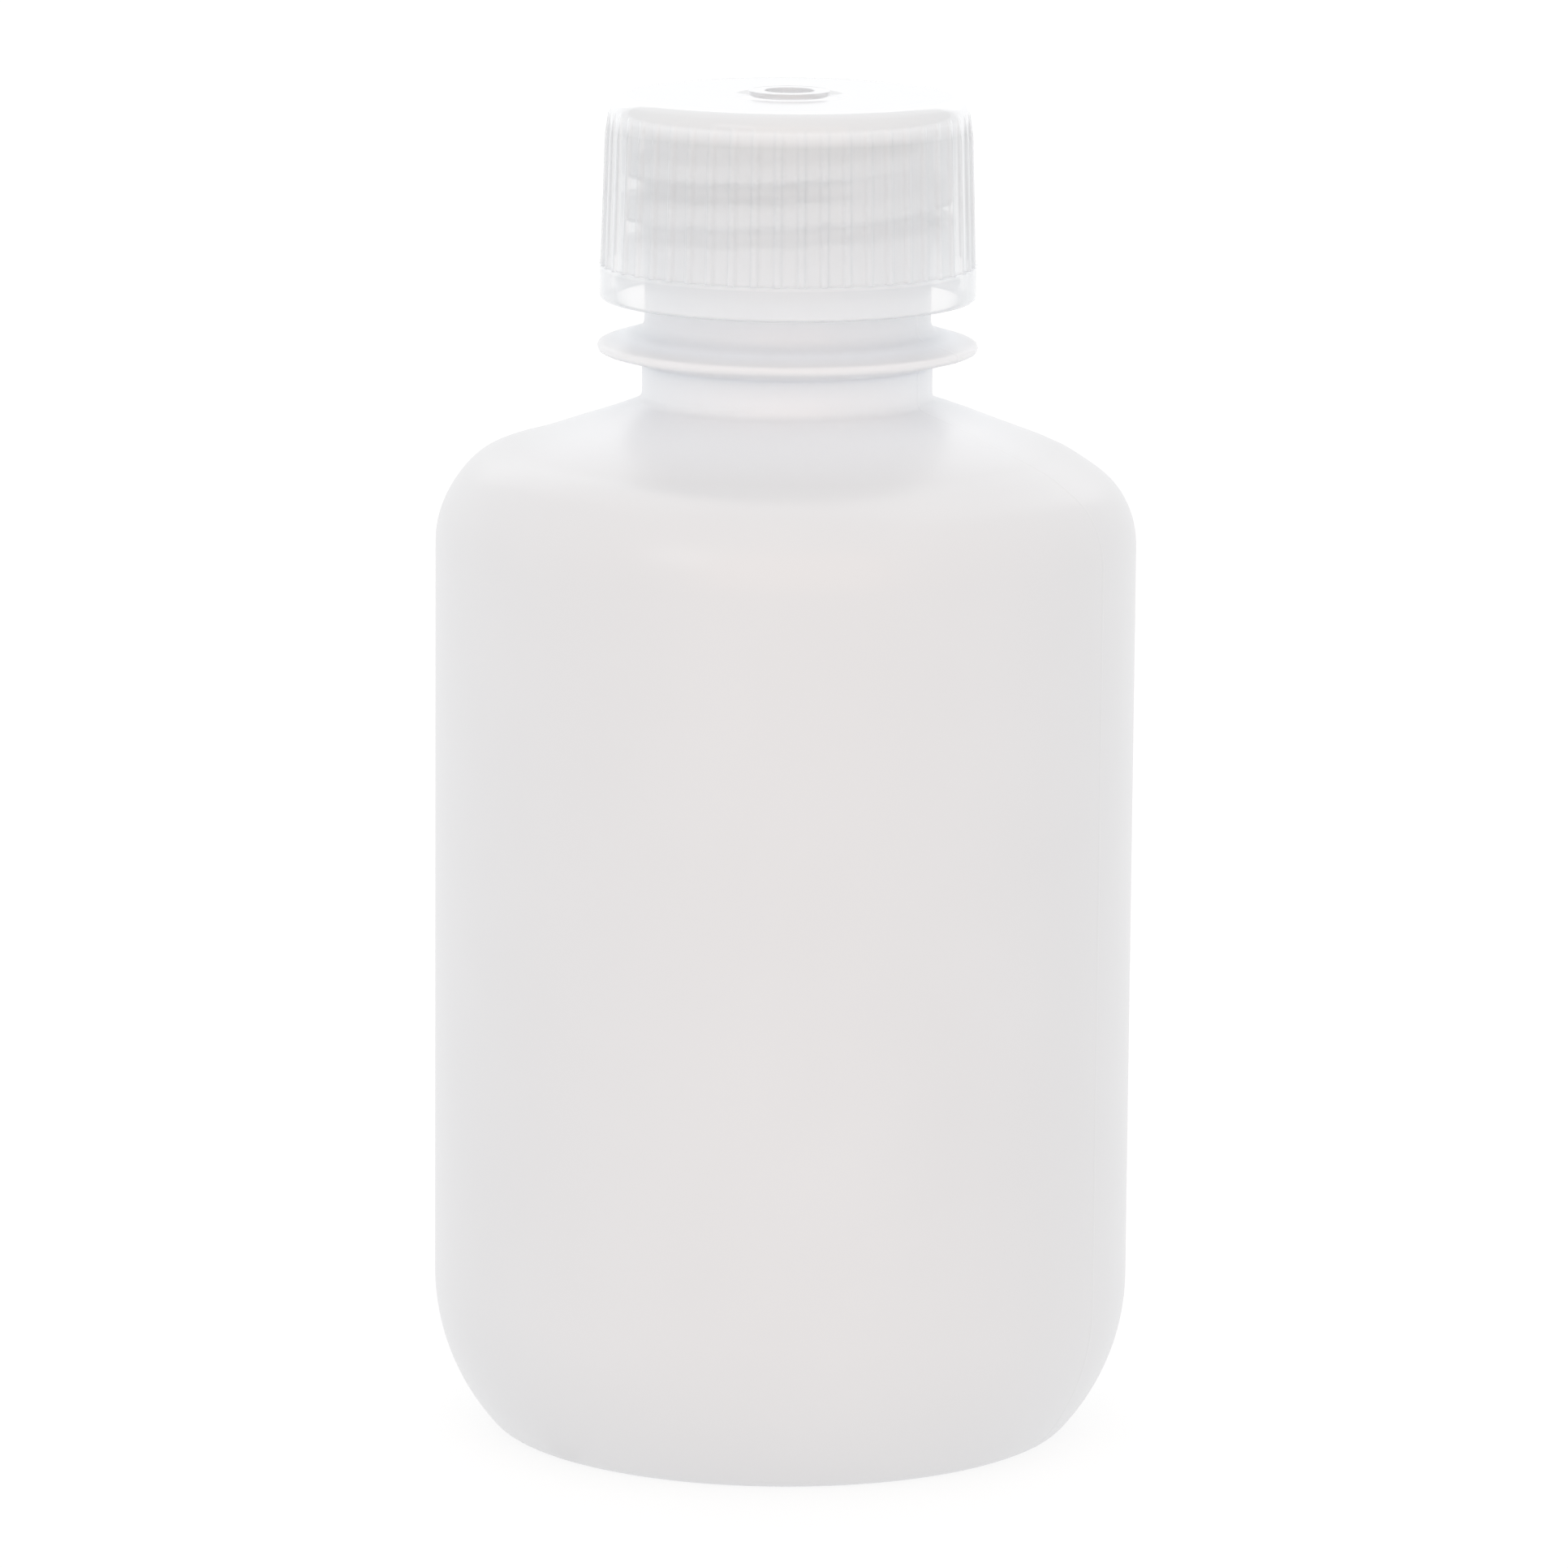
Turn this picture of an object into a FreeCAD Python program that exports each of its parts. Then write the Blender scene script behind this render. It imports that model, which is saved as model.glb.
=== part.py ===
import FreeCAD, Part
import math
import os

# A 125 mL narrow-mouth laboratory bottle with a ribbed screw cap and a sealing disc.
# Millimetres. +Z is up, the Z axis is the bottle's own axis, and the foot stands on Z = 0.
# Angles called "bearing" are measured about +Z from the front (-Y) towards the right (+X).

# Body shell
BODY_RADIUS = 25.5
WALL = 1.1
HEEL_TOP = 11.3             # height at which the straight wall starts to turn in
HEEL_SWEEP_RADIUS = 16.2    # the long curve of the heel
HEEL_CORNER_RADIUS = 1.7    # the short curve that meets the foot
FOOT_INNER_RADIUS = 18.2
PUSH_UP = 1.4               # how far the base domes up inside the foot
SHOULDER_BOTTOM = 65.6      # height at which the straight wall ends
SHOULDER_RADIUS = 7.1
SHOULDER_SLOPE = 20.2       # degrees above the horizontal

# Neck and its flange
LOWER_NECK_RADIUS = 10.55
NECK_RADIUS = 10.4
NECK_FOOT_FILLET = 0.8
LOWER_NECK_LENGTH = 3.9     # from the shoulder's cone to the middle of the flange's rim
FINISH_LENGTH = 15.95       # from the middle of the flange's rim to the mouth
MOUTH_RADIUS = 8.0
MOUTH_EDGE = 0.35
BORE_FOOT_FILLET = 3.0
FLANGE_RADIUS = 13.8
FLANGE_RIM = 0.7
FLANGE_TAPER = 0.65         # how much each face rises from the rim to the neck
FLANGE_FILLET = 0.9

# Thread, shared by the neck and the cap: right-handed, single start, 8 turns to the inch
PITCH = 25.4 / 8
THREAD_BELOW_MOUTH = 2.0    # from the mouth to the middle of the neck's highest turn, at bearing 0
NECK_THREAD_DEPTH = 1.4
NECK_THREAD_CREST = 0.9     # widths along the axis
NECK_THREAD_ROOT = 2.1
NECK_THREAD_TOP_BEARING = 70.0
NECK_THREAD_TURNS = 2.0
CAP_THREAD_CREST = 0.7
CAP_THREAD_ROOT = 1.5
CAP_THREAD_TOP_BEARING = 30.0
CAP_THREAD_TURNS = 1.6
THREAD_FADE = 28.0          # degrees over which a thread's end sinks into its wall
THREAD_STEP = 12.0          # degrees between the points of a thread's path
THREAD_EMBED = 0.15         # how deep a thread is rooted in its wall

# Fits between the pieces
THREAD_CREST_GAP = 0.3      # neck crest to cap wall
THREAD_ROOT_GAP = 0.45      # cap crest to neck wall
THREAD_FLANK_GAP = 0.2      # along the axis, between the flanks that carry the load
DISC_SIDE_GAP = 0.25        # sealing disc to cap wall

# Sealing disc
DISC_THICKNESS = 0.9
DISC_EDGE = 0.2

# Cap
CAP_TOP_PLATE = 1.4
CAP_HEIGHT = 14.75
CAP_WALL = 0.92             # at the top of the side, between two ribs
CAP_DRAFT = 1.75            # degrees
CAP_CORNER_RADIUS = 1.35
BAND_HEIGHT = 2.5           # plain band round the cap's mouth
BAND_STEP = 0.3             # how far the band stands out from the side above it
BAND_EDGE = 0.35
SKIRT_RELIEF = 0.4          # widening of the cap's mouth
SKIRT_RELIEF_HEIGHT = 1.4
RIB_COUNT = 50
RIB_BEARING = 4.0           # bearing of the first rib
RIB_HEIGHT = 0.24
RIB_BASE_WIDTH = 0.62
RIB_CREST_WIDTH = 0.4
RIB_TOP_LEVEL = 1.2         # depth of the ribs' upper ends below the cap's top
RIB_END_SLOPE = 0.35        # height over which a rib's upper end fades in
RIB_ROOT = 0.2              # how deep a rib is rooted in the cap's side

# Gate boss at the middle of the cap's top
BOSS_RADIUS = 2.95
BOSS_HOLE_RADIUS = 1.8
BOSS_HEIGHT = 0.36
BOSS_HOLE_DEPTH = 0.6
BOSS_EDGE = 0.08
GATE_RADIUS = 0.45
GATE_HEIGHT = 0.25

# Marks of the two-part blow mould
PARTING_BEARING = 63.0
PARTING_WIDTH = 0.16
PARTING_HEIGHT = 0.05
PINCH_LENGTH = 22.0
PINCH_WIDTH = 0.7
PINCH_HEIGHT = 0.45

# Places that follow from the sizes above
SLOPE = math.radians(SHOULDER_SLOPE)
CONE_OUTER_RADIUS = BODY_RADIUS - SHOULDER_RADIUS * (1 - math.sin(SLOPE))
CONE_BOTTOM = SHOULDER_BOTTOM + SHOULDER_RADIUS * math.cos(SLOPE)
NECK_FOOT_HEIGHT = CONE_BOTTOM + (CONE_OUTER_RADIUS - LOWER_NECK_RADIUS) * math.tan(SLOPE)
FLANGE_HEIGHT = NECK_FOOT_HEIGHT + LOWER_NECK_LENGTH
MOUTH_HEIGHT = FLANGE_HEIGHT + FINISH_LENGTH
THREAD_HEIGHT = MOUTH_HEIGHT - THREAD_BELOW_MOUTH
CAP_UNDERSIDE = MOUTH_HEIGHT + DISC_THICKNESS
CAP_TOP = CAP_UNDERSIDE + CAP_TOP_PLATE
CAP_BOTTOM = CAP_TOP - CAP_HEIGHT
BAND_TOP = CAP_BOTTOM + BAND_HEIGHT
CAP_BORE_RADIUS = NECK_RADIUS + NECK_THREAD_DEPTH + THREAD_CREST_GAP
CAP_THREAD_DEPTH = CAP_BORE_RADIUS - NECK_RADIUS - THREAD_ROOT_GAP
CAP_SIDE_TOP = CAP_TOP - CAP_CORNER_RADIUS
CAP_SIDE_RADIUS = CAP_BORE_RADIUS + CAP_WALL

AXIS_POINT = FreeCAD.Vector(0, 0, 0)
UP = FreeCAD.Vector(0, 0, 1)
TINY = 1e-6


def at(radius, height):
    return FreeCAD.Vector(radius, 0, height)


def arc(centre, radius, start, end):
    """An arc in the XZ plane between two angles in degrees, 0 outwards and 90 up."""
    turns = [math.radians(start + (end - start) * share) for share in (0, 0.5, 1)]
    first, middle, last = [centre + at(math.cos(t), math.sin(t)) * radius for t in turns]
    return Part.Arc(first, middle, last).toShape()


def ends(piece):
    """The first and last point of a piece of outline, which is a point or an arc."""
    if isinstance(piece, FreeCAD.Vector):
        return piece, piece
    return piece.firstVertex(True).Point, piece.lastVertex(True).Point


def filled(*pieces):
    """A flat face from points and arcs in the XZ plane, joined by straight lines and closed."""
    edges = []
    for piece, following in zip(pieces, pieces[1:] + pieces[:1]):
        if not isinstance(piece, FreeCAD.Vector):
            edges.append(piece)
        start, end = ends(piece)[1], ends(following)[0]
        if (end - start).Length > TINY:
            edges.append(Part.makeLine(start, end))
    return Part.Face(Part.Wire(edges))


def revolved(*pieces):
    return filled(*pieces).revolve(AXIS_POINT, UP, 360)


def shell_outline(depth):
    """The body from the middle of the base to the top of the shoulder's curve, depth inside the surface."""
    dome_radius = (FOOT_INNER_RADIUS**2 + PUSH_UP**2) / (2 * PUSH_UP)
    dome_centre = at(0, PUSH_UP - dome_radius)
    dome_end = math.degrees(math.asin((depth - dome_centre.z) / (dome_radius + depth)))
    drop = math.asin((HEEL_TOP - HEEL_CORNER_RADIUS) / (HEEL_SWEEP_RADIUS - HEEL_CORNER_RADIUS))
    sweep_centre = at(BODY_RADIUS - HEEL_SWEEP_RADIUS, HEEL_TOP)
    corner_centre = sweep_centre + at(math.cos(drop), -math.sin(drop)) * (
        HEEL_SWEEP_RADIUS - HEEL_CORNER_RADIUS)
    shoulder_centre = at(BODY_RADIUS - SHOULDER_RADIUS, SHOULDER_BOTTOM)
    drop_degrees = math.degrees(drop)
    return [
        arc(dome_centre, dome_radius + depth, 90, dome_end),
        arc(corner_centre, HEEL_CORNER_RADIUS - depth, -90, -drop_degrees),
        arc(sweep_centre, HEEL_SWEEP_RADIUS - depth, -drop_degrees, 0),
        arc(shoulder_centre, SHOULDER_RADIUS - depth, 0, 90 - SHOULDER_SLOPE),
    ]


def neck_foot(depth, radius, fillet):
    """The fillet where the shoulder's cone, depth inside the surface, turns up into a neck of this radius."""
    run = CONE_OUTER_RADIUS - depth * math.sin(SLOPE) - (radius + fillet)
    start = CONE_BOTTOM - depth * math.cos(SLOPE)
    centre = at(radius + fillet, start + run * math.tan(SLOPE) + fillet / math.cos(SLOPE))
    return arc(centre, fillet, 270 - SHOULDER_SLOPE, 180)


def bearing_point(radius, bearing, height):
    turn = math.radians(bearing)
    return FreeCAD.Vector(radius * math.sin(turn), -radius * math.cos(turn), height)


def thread_ridge(root, crest, root_width, crest_width, front_height, top_bearing, turns):
    """One helical ridge, trapezoidal in section, whose two ends sink into the wall it stands on."""
    depth = abs(crest - root)
    outwards = math.copysign(1, crest - root)
    bottom_bearing = top_bearing - 360 * turns
    count = round((top_bearing - bottom_bearing) / THREAD_STEP)

    def path_point(bearing):
        to_end = min(bearing - bottom_bearing, top_bearing - bearing)
        sunk = max(0.0, 1 - to_end / THREAD_FADE)
        sunk = sunk * sunk * (3 - 2 * sunk)
        radius = root - outwards * sunk * (depth + THREAD_EMBED)
        return bearing_point(radius, bearing, front_height + PITCH * bearing / 360)

    bearings = [bottom_bearing + (top_bearing - bottom_bearing) * i / count for i in range(count + 1)]
    points = [path_point(b) for b in bearings]
    spline = Part.BSplineCurve()
    spline.interpolate(points)
    spine = Part.Wire(spline.toShape())

    flare = (root_width - crest_width) / 2 / depth * THREAD_EMBED
    turn = math.radians(bottom_bearing)
    radial = FreeCAD.Vector(math.sin(turn), -math.cos(turn), 0) * outwards
    corners = [
        points[0] - radial * THREAD_EMBED - UP * (root_width / 2 + flare),
        points[0] + radial * depth - UP * (crest_width / 2),
        points[0] + radial * depth + UP * (crest_width / 2),
        points[0] - radial * THREAD_EMBED + UP * (root_width / 2 + flare),
    ]
    sweep = Part.BRepOffsetAPI.MakePipeShell(spine)
    sweep.setBiNormalMode(UP)
    sweep.add(Part.makePolygon(corners + corners[:1]))
    sweep.build()
    sweep.makeSolid()
    return sweep.shape()


def parting_line():
    """Thin plates in the mould's parting plane, just proud of the body, shoulder and lower neck."""
    sweep, shoulder = shell_outline(-PARTING_HEIGHT)[2:]
    neck_radius = LOWER_NECK_RADIUS + PARTING_HEIGHT
    face = filled(
        at(0, PUSH_UP + WALL / 2),
        sweep,
        shoulder,
        neck_foot(-PARTING_HEIGHT, neck_radius, NECK_FOOT_FILLET),
        at(neck_radius, FLANGE_HEIGHT),
        at(0, FLANGE_HEIGHT),
    )
    face.translate(FreeCAD.Vector(0, -PARTING_WIDTH / 2, 0))
    plates = []
    for side in (0, 180):
        plate = face.extrude(FreeCAD.Vector(0, PARTING_WIDTH, 0))
        plate.rotate(AXIS_POINT, UP, PARTING_BEARING - 90 + side)
        plates.append(plate)
    return plates


def make_bottle():
    """Body, shoulder, flanged neck and neck thread: one blow-moulded, hollow piece."""
    rim_centre = at(FLANGE_RADIUS - FLANGE_RIM / 2, FLANGE_HEIGHT)
    flange_half = FLANGE_RIM / 2 + FLANGE_TAPER
    above = FLANGE_HEIGHT + flange_half + FLANGE_FILLET
    below = FLANGE_HEIGHT - flange_half - FLANGE_FILLET / 2
    outside = revolved(
        *shell_outline(0),
        neck_foot(0, LOWER_NECK_RADIUS, NECK_FOOT_FILLET),
        arc(at(LOWER_NECK_RADIUS + FLANGE_FILLET / 2, below), FLANGE_FILLET / 2, 180, 90),
        arc(rim_centre, FLANGE_RIM / 2, -90, 90),
        arc(at(NECK_RADIUS + FLANGE_FILLET, above), FLANGE_FILLET, 270, 180),
        arc(at(NECK_RADIUS - MOUTH_EDGE, MOUTH_HEIGHT - MOUTH_EDGE), MOUTH_EDGE, 0, 90),
        at(0, MOUTH_HEIGHT),
    )
    over_mouth = MOUTH_HEIGHT + WALL
    inside = revolved(
        *shell_outline(WALL),
        neck_foot(WALL, MOUTH_RADIUS, BORE_FOOT_FILLET),
        at(MOUTH_RADIUS, MOUTH_HEIGHT - MOUTH_EDGE),
        at(MOUTH_RADIUS + MOUTH_EDGE, MOUTH_HEIGHT),
        at(MOUTH_RADIUS + MOUTH_EDGE, over_mouth),
        at(0, over_mouth),
    )
    thread = thread_ridge(
        NECK_RADIUS, NECK_RADIUS + NECK_THREAD_DEPTH, NECK_THREAD_ROOT, NECK_THREAD_CREST,
        THREAD_HEIGHT, NECK_THREAD_TOP_BEARING, NECK_THREAD_TURNS)
    pinch_bottom = PUSH_UP - PINCH_HEIGHT
    pinch = Part.makeBox(
        PINCH_LENGTH, PINCH_WIDTH, PINCH_HEIGHT,
        FreeCAD.Vector(-PINCH_LENGTH / 2, -PINCH_WIDTH / 2, pinch_bottom))
    pinch.rotate(AXIS_POINT, UP, PARTING_BEARING - 90)
    return outside.fuse([thread, pinch] + parting_line()).cut(inside)


def make_sealing_disc():
    """A flat foam disc that the cap presses onto the mouth."""
    radius = CAP_BORE_RADIUS - DISC_SIDE_GAP
    edge = radius - DISC_EDGE
    return revolved(
        at(0, MOUTH_HEIGHT),
        arc(at(edge, MOUTH_HEIGHT + DISC_EDGE), DISC_EDGE, -90, 0),
        arc(at(edge, CAP_UNDERSIDE - DISC_EDGE), DISC_EDGE, 0, 90),
        at(0, CAP_UNDERSIDE),
    )


def side_radius(height):
    """Radius of the cap's tapered side between the ribs."""
    return CAP_SIDE_RADIUS + (CAP_SIDE_TOP - height) * math.tan(math.radians(CAP_DRAFT))


def cap_rib():
    """One rib, from inside the plain band to its sloping upper end, at bearing 0."""
    top = CAP_TOP - RIB_TOP_LEVEL
    full = top - RIB_END_SLOPE
    foot = BAND_TOP - BAND_EDGE
    sections = []
    for height, rise in ((foot, RIB_HEIGHT), (full, RIB_HEIGHT), (top, -RIB_ROOT / 2)):
        base = side_radius(height) - RIB_ROOT
        crest = side_radius(height) + rise
        corners = [
            FreeCAD.Vector(-RIB_BASE_WIDTH / 2, -base, height),
            FreeCAD.Vector(RIB_BASE_WIDTH / 2, -base, height),
            FreeCAD.Vector(RIB_CREST_WIDTH / 2, -crest, height),
            FreeCAD.Vector(-RIB_CREST_WIDTH / 2, -crest, height),
        ]
        sections.append(Part.makePolygon(corners + corners[:1]))
    return Part.makeLoft(sections, True, True)


def make_cap():
    """Top plate, tapered ribbed side, plain band, gate boss and inner thread: one moulded piece."""
    band_radius = side_radius(BAND_TOP) + BAND_STEP
    relief_top = CAP_BOTTOM + SKIRT_RELIEF_HEIGHT
    boss_top = CAP_TOP + BOSS_HEIGHT
    boss_floor = boss_top - BOSS_HOLE_DEPTH
    shell = revolved(
        at(0, CAP_UNDERSIDE),
        at(CAP_BORE_RADIUS, CAP_UNDERSIDE),
        at(CAP_BORE_RADIUS, relief_top + SKIRT_RELIEF),
        at(CAP_BORE_RADIUS + SKIRT_RELIEF, relief_top),
        at(CAP_BORE_RADIUS + SKIRT_RELIEF, CAP_BOTTOM),
        arc(at(band_radius - BAND_EDGE, CAP_BOTTOM + BAND_EDGE), BAND_EDGE, -90, 0),
        arc(at(band_radius - BAND_STEP / 2, BAND_TOP - BAND_STEP / 2), BAND_STEP / 2, 0, 90),
        at(side_radius(BAND_TOP), BAND_TOP),
        arc(at(CAP_SIDE_RADIUS - CAP_CORNER_RADIUS, CAP_SIDE_TOP), CAP_CORNER_RADIUS, CAP_DRAFT, 90),
        at(BOSS_RADIUS, CAP_TOP),
        arc(at(BOSS_RADIUS - BOSS_EDGE, boss_top - BOSS_EDGE), BOSS_EDGE, 0, 90),
        arc(at(BOSS_HOLE_RADIUS + BOSS_EDGE, boss_top - BOSS_EDGE), BOSS_EDGE, 90, 180),
        at(BOSS_HOLE_RADIUS, boss_floor),
        at(GATE_RADIUS, boss_floor),
        at(GATE_RADIUS / 2, boss_floor + GATE_HEIGHT),
        at(0, boss_floor + GATE_HEIGHT),
    )
    ribs = []
    for n in range(RIB_COUNT):
        rib = cap_rib()
        rib.rotate(AXIS_POINT, UP, RIB_BEARING + 360 * n / RIB_COUNT)
        ribs.append(rib)

    crest_radius = CAP_BORE_RADIUS - CAP_THREAD_DEPTH
    neck_crest_radius = NECK_RADIUS + NECK_THREAD_DEPTH
    neck_taper = (NECK_THREAD_ROOT - NECK_THREAD_CREST) / NECK_THREAD_DEPTH
    neck_width = NECK_THREAD_CREST + neck_taper * (neck_crest_radius - crest_radius)
    below_neck_thread = (neck_width + CAP_THREAD_CREST) / 2 + THREAD_FLANK_GAP
    thread = thread_ridge(
        CAP_BORE_RADIUS, crest_radius, CAP_THREAD_ROOT, CAP_THREAD_CREST,
        THREAD_HEIGHT - below_neck_thread, CAP_THREAD_TOP_BEARING, CAP_THREAD_TURNS)
    within_wall = Part.makeCylinder(
        CAP_BORE_RADIUS + THREAD_EMBED, CAP_HEIGHT, FreeCAD.Vector(0, 0, CAP_BOTTOM))
    return shell.fuse(ribs + [thread.common(within_wall)])


os.makedirs("parts", exist_ok=True)
for name, make in (
    ("bottle", make_bottle),
    ("sealing_disc", make_sealing_disc),
    ("screw_cap", make_cap),
):
    shape = make().removeSplitter()
    solid = shape.Solids[0]
    print(name, "solids", len(shape.Solids), "valid", solid.isValid(), "volume", round(solid.Volume, 1))
    solid.exportStep("parts/" + name + ".step")
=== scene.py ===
"""A 125 mL milky laboratory bottle with a translucent ribbed screw cap, on a pale lit table."""

import math

import bpy
from mathutils import Matrix, Vector


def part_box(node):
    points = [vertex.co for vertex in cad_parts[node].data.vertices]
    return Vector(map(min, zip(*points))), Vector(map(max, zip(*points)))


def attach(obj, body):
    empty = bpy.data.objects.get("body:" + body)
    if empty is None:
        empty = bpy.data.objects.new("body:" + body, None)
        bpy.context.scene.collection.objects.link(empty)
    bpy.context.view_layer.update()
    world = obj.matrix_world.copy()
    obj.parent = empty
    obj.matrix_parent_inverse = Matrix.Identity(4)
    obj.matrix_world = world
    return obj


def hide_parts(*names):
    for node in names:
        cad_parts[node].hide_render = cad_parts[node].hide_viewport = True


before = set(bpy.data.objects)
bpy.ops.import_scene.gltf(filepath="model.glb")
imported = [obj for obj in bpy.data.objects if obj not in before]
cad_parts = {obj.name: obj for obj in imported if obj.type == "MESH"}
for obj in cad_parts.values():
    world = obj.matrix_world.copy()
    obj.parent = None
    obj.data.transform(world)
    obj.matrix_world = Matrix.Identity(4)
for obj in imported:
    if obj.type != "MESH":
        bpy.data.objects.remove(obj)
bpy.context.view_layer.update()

# ---------------------------------------------------------------- sizes, in millimetres
MM = 0.001
INCH = 25.4

BOTTLE_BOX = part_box("bottle")
CAP_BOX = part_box("screw_cap")
DISC_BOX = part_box("sealing_disc")

FOOT_LEVEL = BOTTLE_BOX[0].z / MM
MOUTH_LEVEL = BOTTLE_BOX[1].z / MM
CAP_BOTTOM = CAP_BOX[0].z / MM
BOSS_TOP = CAP_BOX[1].z / MM
DISC_BOTTOM = DISC_BOX[0].z / MM
DISC_TOP = DISC_BOX[1].z / MM

BODY_RADIUS = 25.5
WALL = 1.1
HEEL_TOP = 11.3
HEEL_SWEEP_RADIUS = 16.2
HEEL_CORNER_RADIUS = 1.7
FOOT_INNER_RADIUS = 18.2
PUSH_UP = 1.4
SHOULDER_BOTTOM = 65.6
SHOULDER_RADIUS = 7.1
SHOULDER_SLOPE = 20.2
SHOULDER_RISE = 0.12   # the right shoulder stands this much higher near the neck
SHOULDER_RISE_RADIUS = 13.5
SHOULDER_RISE_SPREAD = 2.6
SHOULDER_DROP = 0.32   # and this much lower at its outer curve; the left the other way
SHOULDER_DROP_RADIUS = 22.4
SHOULDER_DROP_SPREAD = 1.7

LOWER_NECK_RADIUS = 10.55
NECK_RADIUS = 10.4
NECK_FOOT_FILLET = 0.8
MOUTH_RADIUS = 8.0
MOUTH_EDGE = 0.35
BORE_FOOT_FILLET = 3.0
FLANGE_RADIUS = 13.8
FLANGE_LEVEL = 79.95
FLANGE_RIM = 0.7
FLANGE_TAPER = 0.65
FLANGE_FILLET = 0.9
FLANGE_REACH = 3.0     # the flange and its fillets lie within this much of its level
THREAD_START = 5.0     # the rows that carry the thread begin this far above the flange

PITCH = INCH / 8
THREAD_FADE = 28.0
NECK_THREAD = dict(level=93.9, depth=1.4, root=2.1, crest=0.9, top=70.0, turns=2.0)
CAP_THREAD = dict(level=92.50, depth=1.25, root=1.5, crest=0.7, top=30.0, turns=1.6)

CAP_BORE_RADIUS = 12.1
CAP_SIDE_RADIUS = 13.02
CAP_DRAFT = 1.75
CAP_CORNER_RADIUS = 1.35
BAND_HEIGHT = 2.5
BAND_STEP = 0.3
BAND_EDGE = 0.35
SKIRT_RELIEF = 0.4
SKIRT_RELIEF_HEIGHT = 1.4
RIB_COUNT = 50
RIB_BEARING = 4.0
RIB_HEIGHT = 0.24
RIB_BASE_WIDTH = 0.62
RIB_CREST_WIDTH = 0.4
RIB_TOP_LEVEL = 1.2
RIB_END_SLOPE = 0.35
BOSS_RADIUS = 2.95
BOSS_HOLE_RADIUS = 1.8
BOSS_HEIGHT = 0.36
BOSS_HOLE_DEPTH = 0.6
BOSS_EDGE = 0.08
GATE_RADIUS = 0.45
GATE_HEIGHT = 0.25
PLATE_FILLET = 0.24    # inside the cap, between its plate and its bore

DISC_RADIUS = 11.85
DISC_EDGE = 0.2
DISC_IMPRINT = 0.06
DISC_IMPRINT_EDGE = 0.2

PARTING_BEARING = 63.0
PARTING_WIDTH = 0.16
PARTING_HEIGHT = 0.03
PINCH_LENGTH = 22.0
PINCH_WIDTH = 0.7
PINCH_HEIGHT = 0.45
PINCH_EDGE = 0.15

# Bearings, in degrees from the middle of each line or rib, where the mesh needs a column
PARTING_COLUMNS = (-0.6, -0.4, -0.2, 0, 0.2, 0.4, 0.6)
RIB_COLUMNS = (-2.4, -1.55, -1.25, -0.95, -0.5, 0.0, 0.5, 0.95, 1.25, 1.55, 2.4)

CAP_TOP = BOSS_TOP - BOSS_HEIGHT
CAP_SIDE_TOP = CAP_TOP - CAP_CORNER_RADIUS
BAND_TOP = CAP_BOTTOM + BAND_HEIGHT

LIGHT_AIM = 60
TABLE_REACH = 6.0      # in metres
TABLE_GLOW_SHARE = 0.75
CAMERA_PLACE = (0, -0.6528, 0.1706)    # in metres
CAMERA_PITCH = 10.67   # downwards, in degrees
CAMERA_ROLL = 0.45

# How much the cap's plastic hides: face on, near the edges, and more or less in its two plain parts
CAP_HIDES_FACE_ON = 0.48
CAP_HIDES_EDGE_ON = 1.0
CAP_PLATE_HIDES_MORE = 0.32
CAP_BAND_HIDES_LESS = 0.12
PLATE_BLEND = 1.0
# blend into the painted shade on the cap's flat top; this one sets colour, not how much the plastic hides
PAINTED_TOP_SHADE_BLEND = 0.1
BAND_BLEND = 0.3

# How white the plastic is at each level: 0 for a wall as thin as the body's, 1 for a thick one.
# The thick neck is really whiter, but the stops also hold painted light: painted lighter under the flange,
# in the crease above it and under the cap, where shade falls, and painted shade on the flange's lit rim.
WHITENESS_WITH_PAINTED_LIGHT = [
    (SHOULDER_BOTTOM + SHOULDER_RADIUS, 0.0),
    (FLANGE_LEVEL - 3.5, 0.9),
    (FLANGE_LEVEL - 1.3, 0.9),
    (FLANGE_LEVEL - 0.5, 0.0),
    (FLANGE_LEVEL + 0.35, 0.0),
    (FLANGE_LEVEL + 0.8, 0.8),
    (FLANGE_LEVEL + 1.6, 0.8),
    (FLANGE_LEVEL + 2.6, 0.7),
    (MOUTH_LEVEL, 0.7),
]

ARC_STEP = 0.3       # longest stretch between points on a curve of the outline
LINE_STEP = 1.6      # and on its straight parts
THREAD_ROW = 0.16    # spacing of the rows that carry a thread


# ---------------------------------------------------------------- outlines
def smooth(share):
    """A share from 0 to 1, eased at both ends."""
    share = min(1.0, max(0.0, share))
    return share * share * (3 - 2 * share)


def arc(centre, radius, start, end):
    """Points of an arc in (radius, height), angles in degrees, 0 outwards and 90 up."""
    count = max(3, math.ceil(abs(math.radians(end - start)) * radius / ARC_STEP))
    points = []
    for i in range(count + 1):
        angle = math.radians(start + (end - start) * i / count)
        points.append((centre[0] + radius * math.cos(angle), centre[1] + radius * math.sin(angle)))
    return points


def outline(*stretches, step=LINE_STEP):
    """Joins points and arcs with straight lines, and divides the long lines."""
    corners = []
    for stretch in stretches:
        corners += stretch if isinstance(stretch, list) else [stretch]
    points = corners[:1]
    for (r0, z0), (r1, z1) in zip(corners, corners[1:]):
        length = math.hypot(r1 - r0, z1 - z0)
        if length < 1e-6:
            continue
        count = math.ceil(length / step)
        points += [(r0 + (r1 - r0) * i / count, z0 + (z1 - z0) * i / count) for i in range(1, count + 1)]
    return points


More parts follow.
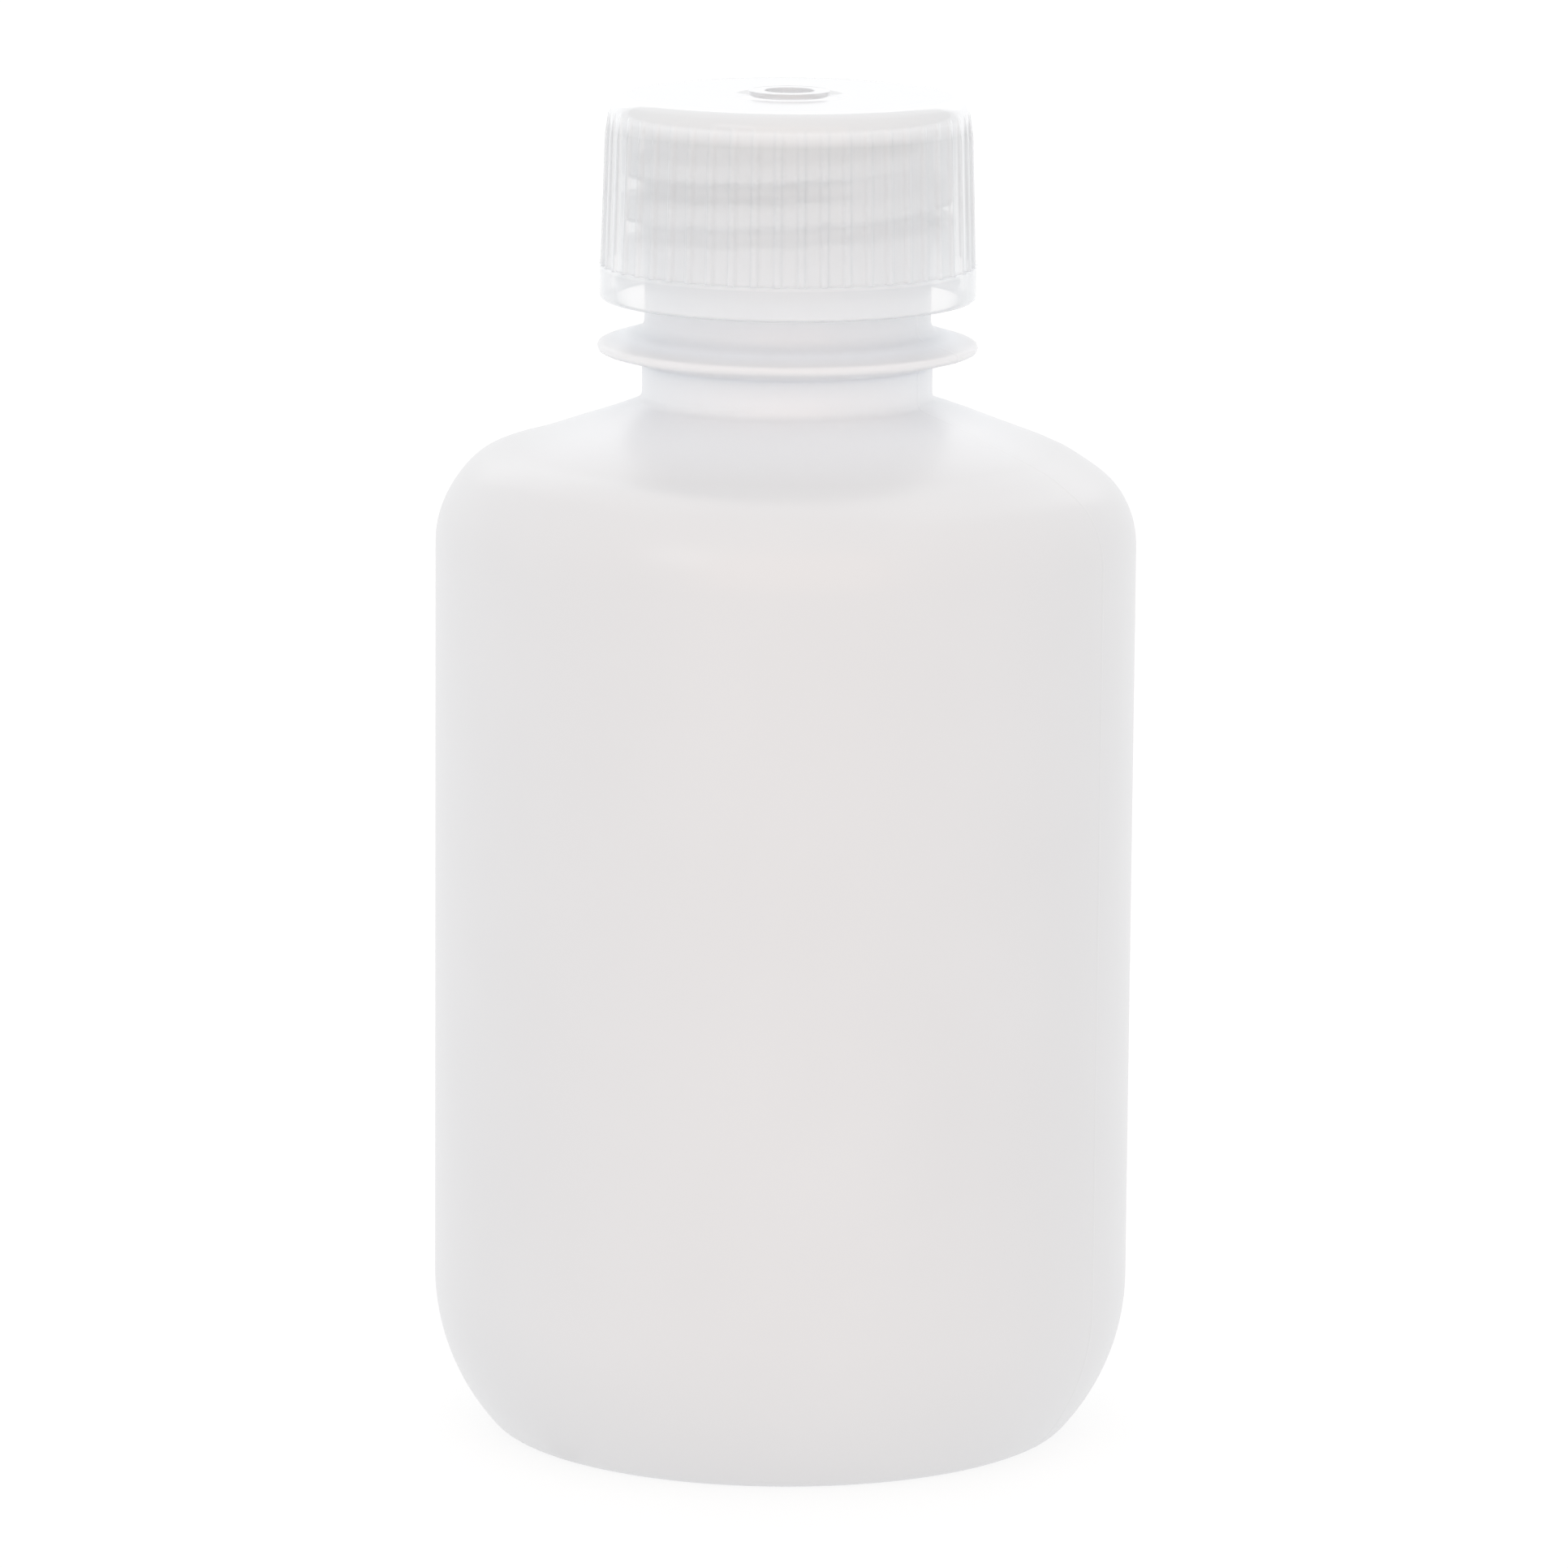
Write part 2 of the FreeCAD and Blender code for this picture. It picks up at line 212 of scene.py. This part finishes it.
def shell(depth):
    """The body from the middle of its base to the shoulder, depth inside the outer surface."""
    dome_radius = (FOOT_INNER_RADIUS**2 + PUSH_UP**2) / (2 * PUSH_UP)
    dome_level = PUSH_UP - dome_radius
    dome_end = math.degrees(math.asin((depth - dome_level) / (dome_radius + depth)))
    drop = math.asin((HEEL_TOP - HEEL_CORNER_RADIUS) / (HEEL_SWEEP_RADIUS - HEEL_CORNER_RADIUS))
    apart = HEEL_SWEEP_RADIUS - HEEL_CORNER_RADIUS
    sweep = (BODY_RADIUS - HEEL_SWEEP_RADIUS, HEEL_TOP)
    corner = (sweep[0] + apart * math.cos(drop), sweep[1] - apart * math.sin(drop))
    drop = math.degrees(drop)
    dome = arc((0, dome_level), dome_radius + depth, 90, dome_end)[::4]
    return (
        [(0, PUSH_UP + depth)] + dome[1:]
        + arc(corner, HEEL_CORNER_RADIUS - depth, -90, -drop)
        + arc(sweep, HEEL_SWEEP_RADIUS - depth, -drop, 0)
        + arc((BODY_RADIUS - SHOULDER_RADIUS, SHOULDER_BOTTOM), SHOULDER_RADIUS - depth, 0, 90 - SHOULDER_SLOPE)
    )


def neck_foot(depth, radius, fillet):
    """The fillet where the shoulder's cone turns up into a neck of this radius."""
    slope = math.radians(SHOULDER_SLOPE)
    reach = SHOULDER_RADIUS - depth
    start = (BODY_RADIUS - SHOULDER_RADIUS + reach * math.sin(slope), SHOULDER_BOTTOM + reach * math.cos(slope))
    run = start[0] - (radius + fillet)
    level = start[1] + run * math.tan(slope) + fillet / math.cos(slope)
    return arc((radius + fillet, level), fillet, 270 - SHOULDER_SLOPE, 180)


# ---------------------------------------------------------------- relief on the turned shapes
def ridge(thread, bearing, level):
    """Height of a helical ridge at this bearing and level, 0 away from it."""
    flank = (thread["root"] - thread["crest"]) / 2
    bottom = thread["top"] - 360 * thread["turns"]
    highest = 0.0
    for turn in range(-math.ceil(thread["turns"]) - 1, 2):
        along = bearing + 360 * turn
        if not bottom < along < thread["top"]:
            continue
        middle = thread["level"] + PITCH * along / 360
        rise = smooth((thread["root"] / 2 - abs(level - middle)) / flank)
        fade = smooth(min(along - bottom, thread["top"] - along) / THREAD_FADE)
        highest = max(highest, thread["depth"] * rise * fade)
    return highest


def bottle_outside(bearing, radius, level):
    """Neck thread, the mould's parting line, and the small unevenness that blowing leaves."""
    out = 0.0
    lift = 0.0
    if level > FLANGE_LEVEL + FLANGE_REACH:
        out += ridge(NECK_THREAD, bearing, level)
    else:
        off = (bearing - PARTING_BEARING + 90) % 180 - 90
        aside = abs(math.radians(off)) * radius
        if radius > LOWER_NECK_RADIUS - 1:
            out += PARTING_HEIGHT * smooth(1.6 - aside / (PARTING_WIDTH / 2))
    if SHOULDER_BOTTOM < level < FLANGE_LEVEL - FLANGE_REACH:
        side = math.sin(math.radians(bearing))
        inner = math.exp(-(((radius - SHOULDER_RISE_RADIUS) / SHOULDER_RISE_SPREAD) ** 2))
        outer = math.exp(-(((radius - SHOULDER_DROP_RADIUS) / SHOULDER_DROP_SPREAD) ** 2))
        lift += side * (SHOULDER_RISE * inner - SHOULDER_DROP * outer)
    return out, lift


def plain(bearing, radius, level):
    return 0.0, 0.0


def cap_outside(bearing, radius, level):
    """Ribs between the plain band and the cap's rounded top edge."""
    top = CAP_TOP - RIB_TOP_LEVEL
    if level < BAND_TOP - 0.001 or level > top or radius < CAP_BORE_RADIUS:
        return 0.0, 0.0
    pitch = 360 / RIB_COUNT
    off = (bearing - RIB_BEARING + pitch / 2) % pitch - pitch / 2
    aside = abs(math.radians(off)) * radius
    flank = (RIB_BASE_WIDTH - RIB_CREST_WIDTH) / 2
    rise = smooth((RIB_BASE_WIDTH / 2 + flank / 2 - aside) / (2 * flank))
    return RIB_HEIGHT * rise * smooth((top - level) / RIB_END_SLOPE), 0.0


def cap_inside(bearing, radius, level):
    if radius < CAP_BORE_RADIUS - 0.05:
        return 0.0, 0.0
    return -ridge(CAP_THREAD, bearing, level), 0.0


def turned(name, sections, bearings):
    """A closed mesh turned about the axis. Each section is an outline with its own relief."""
    vertices = []
    rings = []
    for points, relief in sections:
        for radius, level in points:
            if radius < 1e-6:
                rings.append([len(vertices)])
                vertices.append((0.0, 0.0, level * MM))
                continue
            ring = []
            for bearing in bearings:
                out, lift = relief(bearing, radius, level)
                turn = math.radians(bearing)
                reach = (radius + out) * MM
                ring.append(len(vertices))
                vertices.append((reach * math.sin(turn), -reach * math.cos(turn), (level + lift) * MM))
            rings.append(ring)
    faces = []
    count = len(bearings)
    for low, high in zip(rings, rings[1:]):
        for j in range(count):
            k = (j + 1) % count
            corners = [low[j % len(low)], low[k % len(low)], high[k % len(high)], high[j % len(high)]]
            face = list(dict.fromkeys(corners))
            if len(face) > 2:
                faces.append(face)
    mesh = bpy.data.meshes.new(name)
    mesh.from_pydata(vertices, [], faces)
    mesh.validate()
    mesh.shade_smooth()
    mesh.set_sharp_from_angle(angle=math.radians(50))
    piece = bpy.data.objects.new(name, mesh)
    bpy.context.scene.collection.objects.link(piece)
    return piece


def even_bearings(count, extra=()):
    """Evenly spaced bearings, with some more where a fine line needs them."""
    places = {round(360 * i / count, 4) for i in range(count)} | {round(b % 360, 4) for b in extra}
    return sorted(places)


# ---------------------------------------------------------------- materials
def linear(colour):
    """An sRGB hex colour as linear RGBA."""
    channels = [int(colour[i:i + 2], 16) / 255 for i in (1, 3, 5)]
    return [c / 12.92 if c <= 0.04045 else ((c + 0.055) / 1.055) ** 2.4 for c in channels] + [1.0]


def add(tree, kind, inputs=None, **settings):
    """Adds a node with its settings; inputs are plain values or other nodes' outputs."""
    node = tree.nodes.new(kind)
    for name, value in settings.items():
        setattr(node, name, value)
    for socket, value in (inputs or {}).items():
        if isinstance(value, bpy.types.NodeSocket):
            tree.links.new(value, node.inputs[socket])
        else:
            node.inputs[socket].default_value = value
    return node


def new_material(name):
    material = bpy.data.materials.new(name)
    material.use_nodes = True
    material.node_tree.nodes.clear()
    return material, material.node_tree


def per_metre(size_mm):
    """Noise scale for features about size_mm across, in metre coordinates."""
    return 1 / (size_mm * MM)


def milky_hdpe_blow_moulded():
    """Natural HDPE, blown against a fine-grained mould: milky and waxy, with a soft gloss.

    The wall's thickness drifts by a few percent, which shows as faint clouds. The neck's wall
    is twice as thick as the body's, so less light is lost through it and it looks whiter. Its colour
    by level is also painted light: painted lighter under the flange, in the crease above it and under
    the cap, where shade falls, and painted darker on the flange's rim, which catches the light.
    The skin has a shallow orange peel that softens what is mirrored in it.
    """
    material, tree = new_material("milky_hdpe_blow_moulded")
    place = add(tree, "ShaderNodeTexCoord").outputs["Object"]
    cloud = add(tree, "ShaderNodeTexNoise", {"Vector": place, "Scale": per_metre(16), "Detail": 3.0})
    thin = add(tree, "ShaderNodeMix", {
        0: cloud.outputs["Fac"], 6: linear("#d4d5d7"), 7: linear("#d9dadc")}, data_type="RGBA")
    height = add(tree, "ShaderNodeSeparateXYZ", {"Vector": place}).outputs["Z"]
    lowest, highest = WHITENESS_WITH_PAINTED_LIGHT[0][0], WHITENESS_WITH_PAINTED_LIGHT[-1][0]
    up_neck = add(tree, "ShaderNodeMapRange", {
        "Value": height, "From Min": lowest * MM, "From Max": highest * MM})
    # painted light: this ramp lifts the shaded neck under the flange and the cap and darkens the flange's lit
    # rim, over the thick neck's real whiteness
    white = add(tree, "ShaderNodeValToRGB", {"Fac": up_neck.outputs["Result"]})
    stops = white.color_ramp.elements
    while len(stops) < len(WHITENESS_WITH_PAINTED_LIGHT):
        stops.new(0.5)
    for stop, (level, share) in zip(stops, WHITENESS_WITH_PAINTED_LIGHT):
        stop.position = (level - lowest) / (highest - lowest)
        stop.color = (share, share, share, 1.0)
    thick = add(tree, "ShaderNodeMapRange", {
        "Value": height, "From Min": lowest * MM, "From Max": (FLANGE_LEVEL - FLANGE_REACH) * MM})
    tint = add(tree, "ShaderNodeMix", {
        0: white.outputs["Color"], 6: thin.outputs[2], 7: linear("#f1f4f8")}, data_type="RGBA")
    peel = add(tree, "ShaderNodeTexNoise", {"Vector": place, "Scale": per_metre(2.2), "Detail": 2.0})
    gloss = add(tree, "ShaderNodeMapRange", {
        "Value": cloud.outputs["Fac"], "To Min": 0.26, "To Max": 0.32})
    bump = add(tree, "ShaderNodeBump", {
        "Height": peel.outputs["Fac"], "Strength": 0.25, "Distance": 0.02 * MM})
    plastic = add(tree, "ShaderNodeBsdfPrincipled", {
        "Base Color": tint.outputs[2],
        "Roughness": gloss.outputs["Result"],
        "IOR": 1.53,
        "Subsurface Weight": thick.outputs["Result"],
        "Subsurface Radius": (1.0, 1.0, 1.0),
        "Subsurface Scale": 1.5 * MM,
        "Normal": bump.outputs["Normal"],
    })
    add(tree, "ShaderNodeOutputMaterial", {"Surface": plastic.outputs["BSDF"]})
    return material


def natural_pp_injection_moulded():
    """Natural polypropylene from a polished mould: glossy and see-through with a slight haze.

    Looked at straight on, it lets about half of what is behind it through; towards its edges the
    gloss hides that. The plate is milkier, as its plastic is thicker, and the plain band clearer.
    """
    material, tree = new_material("natural_pp_injection_moulded")
    place = add(tree, "ShaderNodeTexCoord").outputs["Object"]
    flow = add(tree, "ShaderNodeTexNoise", {"Vector": place, "Scale": per_metre(5), "Detail": 3.0})
    tint = add(tree, "ShaderNodeMix", {
        0: flow.outputs["Fac"], 6: linear("#edf0f3"), 7: linear("#f1f3f5")}, data_type="RGBA")
    gloss = add(tree, "ShaderNodeMapRange", {
        "Value": flow.outputs["Fac"], "To Min": 0.08, "To Max": 0.12})
    grazing = add(tree, "ShaderNodeLayerWeight", {"Blend": 0.5})
    sheen = add(tree, "ShaderNodeMapRange", {
        "Value": grazing.outputs["Facing"], "From Min": 0.6, "From Max": 0.88,
        "To Min": CAP_HIDES_FACE_ON, "To Max": CAP_HIDES_EDGE_ON})
    height = add(tree, "ShaderNodeSeparateXYZ", {"Vector": place}).outputs["Z"]
    # Painted shade: the flat top and its boss get a greyer tint than the sides, to damp the light the flat top
    # catches
    top = add(tree, "ShaderNodeMapRange", {
        "Value": height, "From Min": (CAP_TOP - PAINTED_TOP_SHADE_BLEND) * MM, "From Max": CAP_TOP * MM})
    tint_with_painted_shade_on_top = add(tree, "ShaderNodeMix", {
        0: top.outputs["Result"], 6: tint.outputs[2], 7: linear("#e7e9ec")}, data_type="RGBA")
    plate = add(tree, "ShaderNodeMapRange", {
        "Value": height, "From Min": (DISC_TOP - PLATE_BLEND) * MM, "From Max": DISC_TOP * MM,
        "To Max": CAP_PLATE_HIDES_MORE})
    ribbed = add(tree, "ShaderNodeMapRange", {
        "Value": height, "From Min": (BAND_TOP - BAND_BLEND) * MM, "From Max": BAND_TOP * MM,
        "To Min": -CAP_BAND_HIDES_LESS, "To Max": 0.0})
    by_part = add(tree, "ShaderNodeMath", {
        0: ribbed.outputs["Result"], 1: plate.outputs["Result"]}, operation="ADD")
    solid = add(tree, "ShaderNodeMath", {
        0: sheen.outputs["Result"], 1: by_part.outputs["Value"]}, operation="ADD", use_clamp=True)
    plastic = add(tree, "ShaderNodeBsdfPrincipled", {
        "Base Color": tint_with_painted_shade_on_top.outputs[2],
        "Roughness": gloss.outputs["Result"],
        "IOR": 1.49,
        "Alpha": solid.outputs["Value"],
    })
    add(tree, "ShaderNodeOutputMaterial", {"Surface": plastic.outputs["BSDF"]})
    return material


def foam_pe_die_cut():
    """Closed-cell polyethylene foam cut from sheet: white and matt, with a skin of tiny cells."""
    material, tree = new_material("foam_pe_die_cut")
    place = add(tree, "ShaderNodeTexCoord").outputs["Object"]
    cells = add(tree, "ShaderNodeTexVoronoi", {"Vector": place, "Scale": per_metre(0.35)})
    tint = add(tree, "ShaderNodeMix", {
        0: cells.outputs["Distance"], 6: linear("#f2f2f0"), 7: linear("#e4e4e2")}, data_type="RGBA")
    bump = add(tree, "ShaderNodeBump", {
        "Height": cells.outputs["Distance"], "Strength": 0.4, "Distance": 0.05 * MM})
    foam = add(tree, "ShaderNodeBsdfPrincipled", {
        "Base Color": tint.outputs[2], "Roughness": 0.75, "Normal": bump.outputs["Normal"]})
    add(tree, "ShaderNodeOutputMaterial", {"Surface": foam.outputs["BSDF"]})
    return material


# ---------------------------------------------------------------- pieces
def make_bottle(material):
    rim = (FLANGE_RADIUS - FLANGE_RIM / 2, FLANGE_LEVEL)
    half = FLANGE_RIM / 2 + FLANGE_TAPER
    lower_fillet = (LOWER_NECK_RADIUS + FLANGE_FILLET / 2, FLANGE_LEVEL - half - FLANGE_FILLET / 2)
    upper_fillet = (NECK_RADIUS + FLANGE_FILLET, FLANGE_LEVEL + half + FLANGE_FILLET)
    below_thread = FLANGE_LEVEL + half + THREAD_START
    body = outline(
        shell(0),
        neck_foot(0, LOWER_NECK_RADIUS, NECK_FOOT_FILLET),
        arc(lower_fillet, FLANGE_FILLET / 2, 180, 90),
        arc(rim, FLANGE_RIM / 2, -85, 85),
        arc(upper_fillet, FLANGE_FILLET, 270, 180),
        (NECK_RADIUS, below_thread),
    )
    finish = outline(
        (NECK_RADIUS, below_thread + THREAD_ROW),
        arc((NECK_RADIUS - MOUTH_EDGE, MOUTH_LEVEL - MOUTH_EDGE), MOUTH_EDGE, 0, 90),
        step=THREAD_ROW,
    )
    inside = outline(
        arc((MOUTH_RADIUS + MOUTH_EDGE, MOUTH_LEVEL - MOUTH_EDGE), MOUTH_EDGE, 90, 180),
        neck_foot(WALL, MOUTH_RADIUS, BORE_FOOT_FILLET)[::-1],
        shell(WALL)[::-1],
    )
    fine = [PARTING_BEARING + side + off for side in (0, 180) for off in PARTING_COLUMNS]
    bottle = turned(
        "milky_bottle",
        [(body, bottle_outside), (finish, bottle_outside), (inside, plain)],
        even_bearings(216, fine),
    )
    bottle.data.materials.append(material)
    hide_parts("bottle")
    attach(bottle, "bottle")


def make_pinch_off(material):
    """The bar left under the domed base where the mould's two halves pinched the tube of plastic shut."""
    bottom = (PUSH_UP - PINCH_HEIGHT) * MM
    half = PINCH_WIDTH / 2 * MM
    edge = PINCH_EDGE * MM
    root = (PUSH_UP + WALL / 2) * MM
    section = [
        (-half, root), (-half, bottom + edge), (edge - half, bottom),
        (half - edge, bottom), (half, bottom + edge), (half, root),
    ]
    reach = PINCH_LENGTH / 2 * MM
    vertices = [(end, across, level) for end in (-reach, reach) for across, level in section]
    count = len(section)
    sides = [(i, (i + 1) % count, (i + 1) % count + count, i + count) for i in range(count)]
    ends = [tuple(range(count)), tuple(range(count, 2 * count))]
    mesh = bpy.data.meshes.new("pinch_off_scar")
    mesh.from_pydata(vertices, [], sides + ends)
    mesh.transform(Matrix.Rotation(math.radians(PARTING_BEARING - 90), 4, "Z"))
    mesh.materials.append(material)
    scar = bpy.data.objects.new("pinch_off_scar", mesh)
    bpy.context.scene.collection.objects.link(scar)
    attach(scar, "bottle")


def make_cap(material):
    def side(level):
        return CAP_SIDE_RADIUS + (CAP_SIDE_TOP - level) * math.tan(math.radians(CAP_DRAFT))

    band = side(BAND_TOP) + BAND_STEP
    floor = BOSS_TOP - BOSS_HOLE_DEPTH
    relief_top = CAP_BOTTOM + SKIRT_RELIEF_HEIGHT
    outside = outline(
        arc((band - BAND_EDGE, CAP_BOTTOM + BAND_EDGE), BAND_EDGE, -90, 0),
        arc((band - BAND_STEP / 2, BAND_TOP - BAND_STEP / 2), BAND_STEP / 2, 0, 90),
        (side(BAND_TOP), BAND_TOP),
        arc((CAP_SIDE_RADIUS - CAP_CORNER_RADIUS, CAP_SIDE_TOP), CAP_CORNER_RADIUS, CAP_DRAFT, 90),
        (BOSS_RADIUS + BOSS_EDGE, CAP_TOP),
        (BOSS_RADIUS, CAP_TOP + BOSS_EDGE),
        arc((BOSS_RADIUS - BOSS_EDGE, BOSS_TOP - BOSS_EDGE), BOSS_EDGE, 0, 90),
        arc((BOSS_HOLE_RADIUS + BOSS_EDGE, BOSS_TOP - BOSS_EDGE), BOSS_EDGE, 90, 180),
        (BOSS_HOLE_RADIUS, floor),
        (GATE_RADIUS, floor),
        (GATE_RADIUS / 2, floor + GATE_HEIGHT),
        (0, floor + GATE_HEIGHT),
    )
    inside = outline(
        (0, DISC_TOP),
        arc((CAP_BORE_RADIUS - PLATE_FILLET, DISC_TOP - PLATE_FILLET), PLATE_FILLET, 90, 0),
        step=LINE_STEP,
    ) + outline(
        (CAP_BORE_RADIUS, DISC_TOP - 1.0),
        (CAP_BORE_RADIUS, relief_top + SKIRT_RELIEF),
        (CAP_BORE_RADIUS + SKIRT_RELIEF, relief_top),
        (CAP_BORE_RADIUS + SKIRT_RELIEF, CAP_BOTTOM),
        step=THREAD_ROW * 1.4,
    )
    pitch = 360 / RIB_COUNT
    bearings = sorted((RIB_BEARING + n * pitch + off) % 360 for n in range(RIB_COUNT) for off in RIB_COLUMNS)
    cap = turned("ribbed_cap", [(inside, cap_inside), (outside, cap_outside)], bearings)
    cap.data.materials.append(material)
    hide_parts("screw_cap")
    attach(cap, "cap")


def make_disc(material):
    """The disc carries the print of the mouth's rim in its lower face."""
    imprint = [
        (MOUTH_RADIUS - DISC_IMPRINT_EDGE, DISC_BOTTOM),
        (MOUTH_RADIUS + DISC_IMPRINT_EDGE, DISC_BOTTOM + DISC_IMPRINT),
        (NECK_RADIUS - DISC_IMPRINT_EDGE, DISC_BOTTOM + DISC_IMPRINT),
        (NECK_RADIUS + DISC_IMPRINT_EDGE, DISC_BOTTOM),
    ]
    edge = DISC_RADIUS - DISC_EDGE
    disc = turned("foam_disc", [(outline(
        (0, DISC_BOTTOM),
        imprint,
        arc((edge, DISC_BOTTOM + DISC_EDGE), DISC_EDGE, -90, 0),
        arc((edge, DISC_TOP - DISC_EDGE), DISC_EDGE, 0, 90),
        (0, DISC_TOP),
    ), plain)], even_bearings(144))
    disc.data.materials.append(material)
    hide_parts("sealing_disc")
    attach(disc, "sealing_disc")


# ---------------------------------------------------------------- table, light and camera
def make_table():
    """A pale matt table, lit from within as well, so that the shadow under the bottle stays faint."""
    material, tree = new_material("pale_lit_table")
    white = add(tree, "ShaderNodeBsdfDiffuse", {"Color": linear("#f4f4f4")})
    glow = add(tree, "ShaderNodeEmission", {"Color": linear("#ffffff"), "Strength": 1.04})
    both = add(tree, "ShaderNodeMixShader", {
        0: TABLE_GLOW_SHARE, 1: white.outputs["BSDF"], 2: glow.outputs["Emission"]})
    add(tree, "ShaderNodeOutputMaterial", {"Surface": both.outputs["Shader"]})
    mesh = bpy.data.meshes.new("table")
    reach = TABLE_REACH
    level = FOOT_LEVEL * MM
    mesh.from_pydata(
        [(-reach, -reach, level), (reach, -reach, level), (reach, reach, level), (-reach, reach, level)],
        [], [(0, 1, 2, 3)])
    mesh.materials.append(material)
    table = bpy.data.objects.new("table", mesh)
    bpy.context.scene.collection.objects.link(table)


def softbox(name, place, size, brightness, colour):
    """A square light that faces the middle of the bottle; brightness is measured on its own face."""
    lamp = bpy.data.lights.new(name, "AREA")
    lamp.size = size
    lamp.energy = brightness * math.pi * size**2
    lamp.color = linear(colour)[:3]
    holder = bpy.data.objects.new(name, lamp)
    holder.location = place
    to_bottle = Vector((0, 0, LIGHT_AIM * MM)) - holder.location
    holder.rotation_euler = to_bottle.to_track_quat("-Z", "Y").to_euler()
    bpy.context.scene.collection.objects.link(holder)


def make_light():
    """White walls all round, a softbox above and behind, a small one at the left, a warm fill in front."""
    world = bpy.data.worlds.new("white_studio")
    world.use_nodes = True
    world.node_tree.nodes["Background"].inputs["Color"].default_value = linear("#ffffff")
    world.node_tree.nodes["Background"].inputs["Strength"].default_value = 1.03
    bpy.context.scene.world = world
    softbox("softbox_above_and_behind", (0.0, 0.9, 1.2), 2.0, 0.38, "#ffffff")
    softbox("softbox_left", (-0.80, -1.02, 0.88), 0.5, 0.9, "#ffffff")
    softbox("fill_front", (0.05, -1.6, 0.35), 2.0, 0.45, "#ffc292")


def make_camera():
    """A long lens, a little above the bottle, level with it to within half a degree."""
    camera = bpy.data.cameras.new("camera")
    camera.sensor_width = 36.0
    camera.lens = 208.4
    camera.clip_start = 0.01
    camera.clip_end = 50.0
    holder = bpy.data.objects.new("camera", camera)
    pitch = Matrix.Rotation(math.radians(90 - CAMERA_PITCH), 4, "X")
    roll = Matrix.Rotation(math.radians(CAMERA_ROLL), 4, "Z")
    holder.matrix_world = Matrix.Translation(Vector(CAMERA_PLACE)) @ pitch @ roll
    bpy.context.scene.collection.objects.link(holder)
    bpy.context.scene.camera = holder
    bpy.context.scene.view_settings.view_transform = "Standard"


make_camera()
make_light()
make_table()
hdpe = milky_hdpe_blow_moulded()
make_bottle(hdpe)
make_pinch_off(hdpe)
make_cap(natural_pp_injection_moulded())
make_disc(foam_pe_die_cut())
